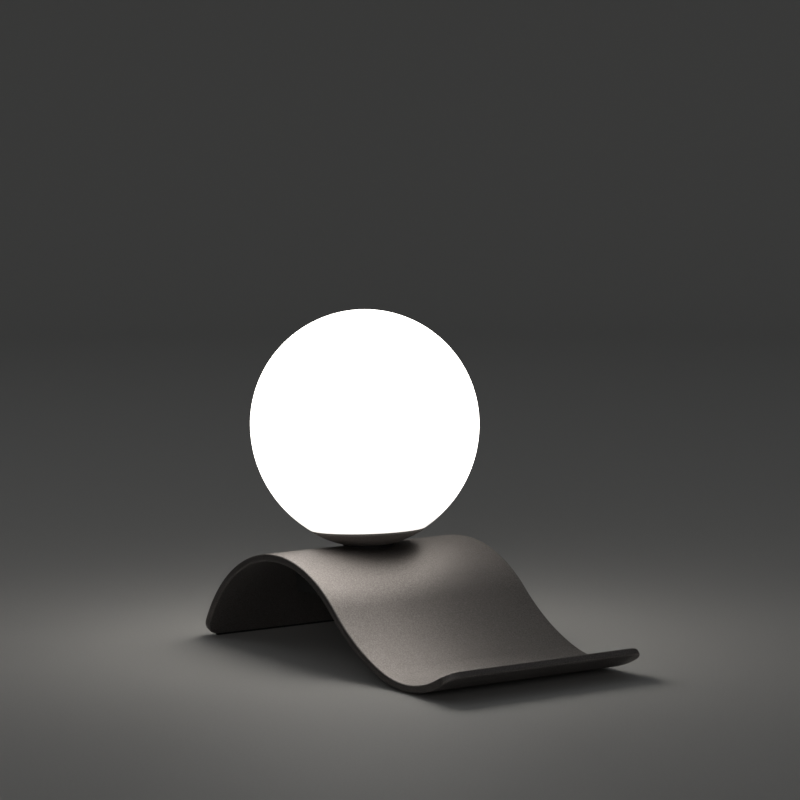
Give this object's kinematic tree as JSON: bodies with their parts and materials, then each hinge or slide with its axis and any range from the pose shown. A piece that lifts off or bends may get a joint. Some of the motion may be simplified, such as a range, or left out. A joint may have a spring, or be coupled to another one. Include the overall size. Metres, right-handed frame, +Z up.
{
  "type": "table lamp",
  "caption": "Table lamp: a glowing opal glass globe in a shallow metal cup, on the hump of a thick plate bent into a wave that stands on its leg end and its trough.",
  "frame": {"origin": "on the table, under the middle of the lamp's outline seen from above", "axes": "+X from the leg end to the raised tip, +Y along the hump away from the switch, +Z up"},
  "size_m": [0.2812, 0.151, 0.2202],
  "materials": {
    "powder_coat": "fine sandy metallic anthracite-bronze powder coat, satin",
    "opal_glass": "white opal glass, satin, lit from inside",
    "black_rubber": "matte",
    "grey_silicone": "matte",
    "zinc_steel": "bright zinc plated",
    "spring_steel": "polished spring steel",
    "black_steel": "black oxide",
    "white_ceramic": "glazed steatite ceramic",
    "nickel_contact": "nickel plated",
    "black_plastic": "fine moulded texture",
    "grey_plastic": "smooth",
    "white_plastic": "moulded",
    "white_board": "white circuit board",
    "brass": "plain",
    "led_phosphor": "yellow phosphor",
    "clear_cover": "clear",
    "brown_insulation": "silicone insulated",
    "blue_insulation": "silicone insulated",
    "green_yellow_insulation": "silicone insulated"
  },
  "bodies": {
    "base": {"wave_plate": "powder_coat", "leg_strip": "black_rubber", "foot_pads": "black_rubber", "saddle_washer": "black_rubber", "socket_cup": "powder_coat", "globe_seat_ring": "grey_silicone", "threaded_rod": "zinc_steel", "upper_nut": "zinc_steel", "lower_nut": "zinc_steel", "upper_lock_washer": "zinc_steel", "lower_lock_washer": "zinc_steel", "globe_spring_spider": "spring_steel", "holder_bracket": "zinc_steel", "lamp_holder": "white_ceramic", "holder_screws": "zinc_steel", "holder_contacts": "nickel_contact", "wiring_housing": "black_plastic", "housing_cover": "black_plastic", "cover_screws": "black_steel", "inlet_grommet": "black_rubber", "terminal_block": "white_plastic", "terminal_tubes": "brass", "terminal_screws": "zinc_steel", "block_screws": "zinc_steel", "switch_body": "black_plastic", "switch_tabs": "brass", "switch_nut": "black_plastic", "switch_spring": "spring_steel", "switched_lead": "brown_insulation", "neutral_lead": "blue_insulation", "feed_lead": "brown_insulation", "earth_lead": "green_yellow_insulation", "earth_tag": "brass"},
    "globe": {"glass_globe": "opal_glass"},
    "light_source": {"lamp_base": "white_plastic", "lamp_pins": "nickel_contact", "lamp_core": "white_board", "lamp_leds": "led_phosphor", "lamp_cover": "clear_cover"},
    "push_button": {"switch_button": "grey_plastic"}
  },
  "joints": [
    {"name": "globe_lift", "type": "slide", "parent": "base", "child": "globe", "axis": [-0.0523, 0, 0.9986], "range_m": [0, 0.09]},
    {"name": "light_source_pull", "type": "slide", "parent": "base", "child": "light_source", "axis": [-0.0523, 0, 0.9986], "range_m": [0, 0.03]},
    {"name": "button_press", "type": "slide", "parent": "base", "child": "push_button", "axis": [-0.0523, 0, 0.9986], "range_m": [0, 0.0025], "stiffness_N_per_m": 250, "springref_m": -0.003, "deforming": ["switch_spring"]}
  ]
}
